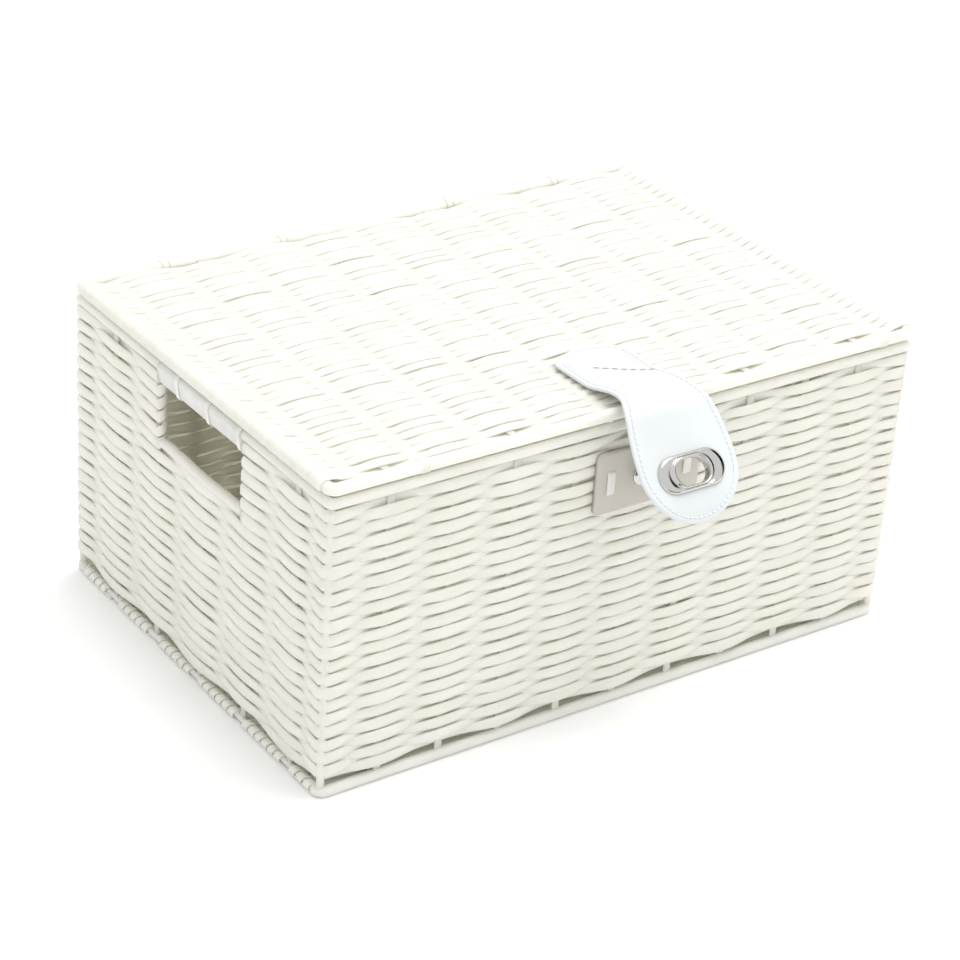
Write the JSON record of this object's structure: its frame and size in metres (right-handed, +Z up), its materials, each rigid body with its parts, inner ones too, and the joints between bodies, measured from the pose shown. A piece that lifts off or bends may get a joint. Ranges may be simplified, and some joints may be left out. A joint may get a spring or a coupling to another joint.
{
  "type": "woven resin storage trunk",
  "caption": "Rectangular woven resin storage trunk with hinged lid, two hand openings and a leather strap that closes over a turn button.",
  "frame": {"origin": "Middle of the rectangular footprint, on the surface that the trunk stands on.", "axes": "+X runs along the long side, to the right as the clasp is faced; the clasp and strap are on the -Y side and the lid's hinge ties on the +Y side; +Z is up."},
  "size_m": [0.4024, 0.3337, 0.2004],
  "materials": {
    "resin_strand": "round woven strands of white resin with a soft satin skin",
    "resin_rim": "smooth white resin cover on the rim wires",
    "resin_stake": "flat white resin strip",
    "resin_band": "smooth folded white band at the hand openings",
    "strap_leather": "white coated leather with a fine pebble grain and white stitching",
    "lock_chrome": "polished plated zinc"
  },
  "bodies": {
    "basket": {"base_ring": "resin_rim", "base_end_wraps": "resin_strand", "base_stakes": "resin_stake", "base_weave": "resin_strand", "corner_posts": "resin_stake", "front_stakes": "resin_stake", "rear_stakes": "resin_stake", "left_stakes": "resin_stake", "right_stakes": "resin_stake", "front_weave": "resin_strand", "rear_weave": "resin_strand", "left_weave": "resin_strand", "right_weave": "resin_strand", "left_weave_ends": "resin_strand", "right_weave_ends": "resin_strand", "top_rim": "resin_rim", "left_hand_bar": "resin_rim", "right_hand_bar": "resin_rim", "left_grip": "resin_band", "right_grip": "resin_band", "left_grip_ties": "resin_stake", "right_grip_ties": "resin_stake", "hinge_ties": "resin_stake", "clasp_patch": "strap_leather", "patch_strips": "resin_stake", "lock_plate": "lock_chrome", "lock_backplate": "lock_chrome"},
    "knob": {"turn_knob": "lock_chrome"},
    "lid": {"lid_rim": "resin_rim", "lid_rim_bindings": "resin_stake", "lid_stakes": "resin_stake", "lid_weave": "resin_strand", "strap_root": "strap_leather"},
    "strap": {"strap_flap": "strap_leather", "eyelet": "lock_chrome", "eyelet_backplate": "lock_chrome"}
  },
  "joints": [
    {"name": "lid_hinge", "type": "hinge", "parent": "basket", "child": "lid", "pos_m": [0, 0.1365, 0.1895], "axis": [-1, 0, 0], "range_deg": [0, 180]},
    {"name": "strap_flex", "type": "hinge", "parent": "lid", "child": "strap", "pos_m": [0.007, -0.13738, 0.19923], "axis": [-1, 0, 0], "range_deg": [-40, 120], "stiffness_Nm_per_rad": 0.06, "springref_deg": 8.59},
    {"name": "knob_turn", "type": "hinge", "parent": "basket", "child": "knob", "pos_m": [0.007, -0.145, 0.14967], "axis": [0, -1, 0], "range_deg": [0, 90]}
  ]
}
